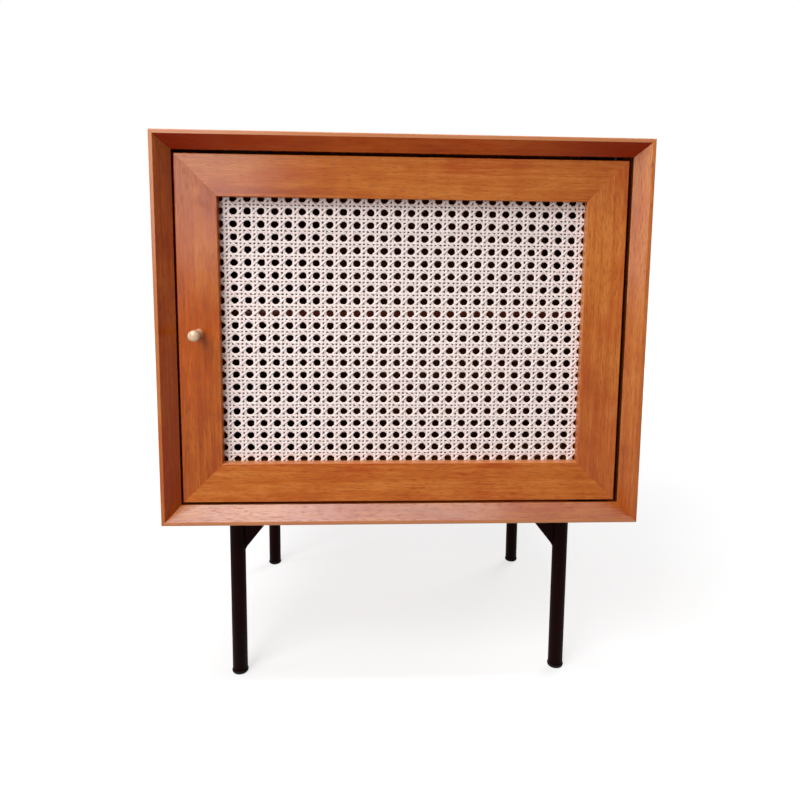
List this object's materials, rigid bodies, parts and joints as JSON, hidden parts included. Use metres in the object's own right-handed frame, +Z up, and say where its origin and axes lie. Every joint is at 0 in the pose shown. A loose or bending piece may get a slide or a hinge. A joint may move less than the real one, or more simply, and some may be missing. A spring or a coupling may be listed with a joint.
{
  "type": "storage side table",
  "caption": "Cabinet side table: mitred wooden box with bevelled front edges, an inset cane-panelled door on pivot hinges, an inner shelf and round steel tube legs.",
  "frame": {"origin": "on the floor, under the middle of the overall width and depth, the knob included", "axes": "+Z up, +X to the right seen from the front, +Y towards the back; the door faces -Y"},
  "size_m": [0.5, 0.41, 0.6],
  "materials": {
    "stained_wood": "orange-brown stain under satin lacquer, fine straight grain",
    "plywood": "plain, unstained",
    "cane": "bleached six-way cane weave",
    "black_steel": "black powder coat",
    "black_plastic": "moulded",
    "pale_brass": "satin",
    "plated_steel": "zinc plated",
    "pivot_brass": "rolled",
    "magnet": "sintered"
  },
  "bodies": {
    "carcass": {"top_panel": "stained_wood", "bottom_panel": "stained_wood", "left_side_panel": "stained_wood", "right_side_panel": "stained_wood", "shelf": "stained_wood", "back_panel": "plywood", "corner_splines": "plywood", "front_left_leg_plate": "black_steel", "front_left_leg_tube": "black_steel", "front_left_leg_gusset": "black_steel", "front_right_leg_plate": "black_steel", "front_right_leg_tube": "black_steel", "front_right_leg_gusset": "black_steel", "rear_left_leg_plate": "black_steel", "rear_left_leg_tube": "black_steel", "rear_left_leg_gusset": "black_steel", "rear_right_leg_plate": "black_steel", "rear_right_leg_tube": "black_steel", "rear_right_leg_gusset": "black_steel", "front_left_foot_cap": "black_plastic", "front_right_foot_cap": "black_plastic", "rear_left_foot_cap": "black_plastic", "rear_right_foot_cap": "black_plastic", "catch_housing": "black_plastic", "back_panel_screws": "plated_steel", "leg_screws": "plated_steel", "frame_leaf_screws": "plated_steel", "catch_screws": "plated_steel", "shelf_pins": "plated_steel", "catch_pole_plates": "plated_steel", "upper_pivot_pin": "plated_steel", "lower_pivot_pin": "plated_steel", "pivot_thrust_washer": "plated_steel", "upper_pivot_frame_leaf": "pivot_brass", "lower_pivot_frame_leaf": "pivot_brass", "catch_magnet": "magnet"},
    "door": {"door_top_rail": "stained_wood", "door_bottom_rail": "stained_wood", "door_knob_stile": "stained_wood", "door_hinge_stile": "stained_wood", "door_corner_tenons": "plywood", "cane_panel": "cane", "cane_bead_top": "stained_wood", "cane_bead_bottom": "stained_wood", "cane_bead_left": "stained_wood", "cane_bead_right": "stained_wood", "bead_pins": "plated_steel", "door_knob": "pale_brass", "knob_screw": "plated_steel", "upper_pivot_door_leaf": "pivot_brass", "lower_pivot_door_leaf": "pivot_brass", "door_leaf_screws": "plated_steel", "catch_strike_plate": "plated_steel", "strike_screw": "plated_steel"}
  },
  "joints": [
    {"name": "door_swing", "type": "hinge", "parent": "carcass", "child": "door", "pos_m": [0.217, -0.17, 0.4], "axis": [0, 0, 1], "range_deg": [0, 110]}
  ]
}
